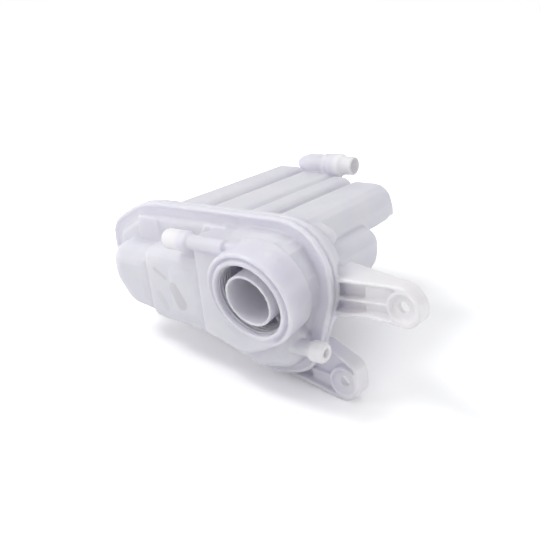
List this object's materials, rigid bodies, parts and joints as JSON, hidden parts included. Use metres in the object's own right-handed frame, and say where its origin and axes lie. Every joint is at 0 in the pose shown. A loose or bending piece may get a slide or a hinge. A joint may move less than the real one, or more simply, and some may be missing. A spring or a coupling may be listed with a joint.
{
  "type": "coolant expansion tank",
  "caption": "Milky moulded coolant tank of two welded half shells, with an open filler neck, deep chambers, hose stubs and bolt ears.",
  "frame": {"origin": "where the filler neck's axis meets the weld plane of the two half shells", "axes": "+Z square to the weld plane, towards the cap side; +X towards the bolt ears; +Y towards the flange's straight edge"},
  "size_m": [0.2456, 0.1229, 0.1782],
  "materials": {
    "cap_side_plastic": "milky, slightly translucent, satin",
    "chamber_plastic": "milky, slightly translucent, satin"
  },
  "bodies": {
    "root": {"upper_shell": "cap_side_plastic", "lower_shell": "chamber_plastic"}
  },
  "joints": []
}
